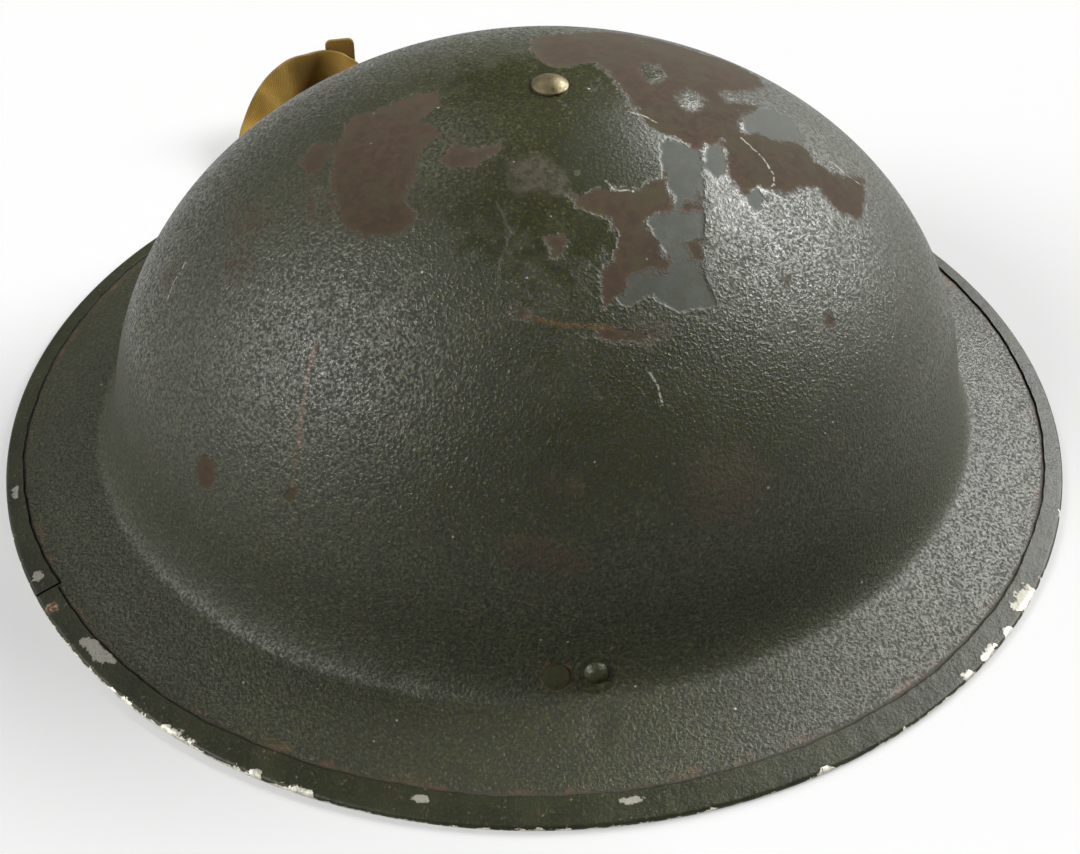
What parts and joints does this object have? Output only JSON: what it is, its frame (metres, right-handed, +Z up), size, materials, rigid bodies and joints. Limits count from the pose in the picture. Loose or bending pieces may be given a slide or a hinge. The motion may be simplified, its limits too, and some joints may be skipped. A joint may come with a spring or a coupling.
{
  "type": "brodie helmet",
  "caption": "Broad-brimmed pressed-steel bowl helmet with folded rim strip, crown-bolted sprung liner and webbing chin strap on swinging wire loops.",
  "frame": {"origin": "middle of the brim's rest plane, on the axis of the crown screw", "axes": "+X front of the helmet, +Y the wearer's left side, +Z up through the crown"},
  "size_m": [0.31, 0.3145, 0.117],
  "materials": {
    "painted_steel": "rough dark olive-green paint, worn to primer",
    "rim_steel": "stainless strip with chipped olive paint",
    "brass": "dull, tarnished",
    "plain_steel": "dull, slightly rusty",
    "fibre": "dark vulcanised fibre",
    "rubber": "matt, aged",
    "leathercloth": "black grained leathercloth",
    "lace": "braided cotton",
    "webbing": "mustard-tan woven webbing"
  },
  "bodies": {
    "helmet": {"shell": "painted_steel", "rim_strip": "rim_steel", "crown_screw": "brass", "crown_nut": "brass", "crown_washer": "plain_steel", "crown_spacer": "fibre", "hanger_long": "fibre", "hanger_side": "fibre", "head_band": "fibre", "band_rivets": "plain_steel", "rubber_buffer_1": "rubber", "rubber_buffer_2": "rubber", "rubber_buffer_3": "rubber", "rubber_buffer_4": "rubber", "rubber_buffer_5": "rubber", "rubber_buffer_6": "rubber", "rubber_buffer_7": "rubber", "rubber_buffer_8": "rubber", "sweatband": "leathercloth", "cradle": "leathercloth", "cradle_lace": "lace", "crown_pad": "rubber", "lug_right": "plain_steel", "lug_left": "plain_steel", "lug_rivets_right": "painted_steel", "lug_rivets_left": "painted_steel", "chin_strap": "webbing"},
    "right_loop": {"loop_right": "plain_steel", "strap_tab_right": "webbing"},
    "left_loop": {"loop_left": "plain_steel", "strap_tab_left": "webbing"},
    "slider": {"strap_slider": "brass"}
  },
  "joints": [
    {"name": "right_loop_hinge", "type": "hinge", "parent": "helmet", "child": "right_loop", "pos_m": [-0.007, -0.10206, 0.01018], "axis": [1, 0, 0], "range_deg": [-110, 26]},
    {"name": "left_loop_hinge", "type": "hinge", "parent": "helmet", "child": "left_loop", "pos_m": [-0.007, 0.10206, 0.01018], "axis": [-1, 0, 0], "range_deg": [-110, 26]},
    {"name": "slider_slide", "type": "slide", "parent": "helmet", "child": "slider", "axis": [0, 1, 0], "range_m": [-0.016, 0.016]}
  ]
}
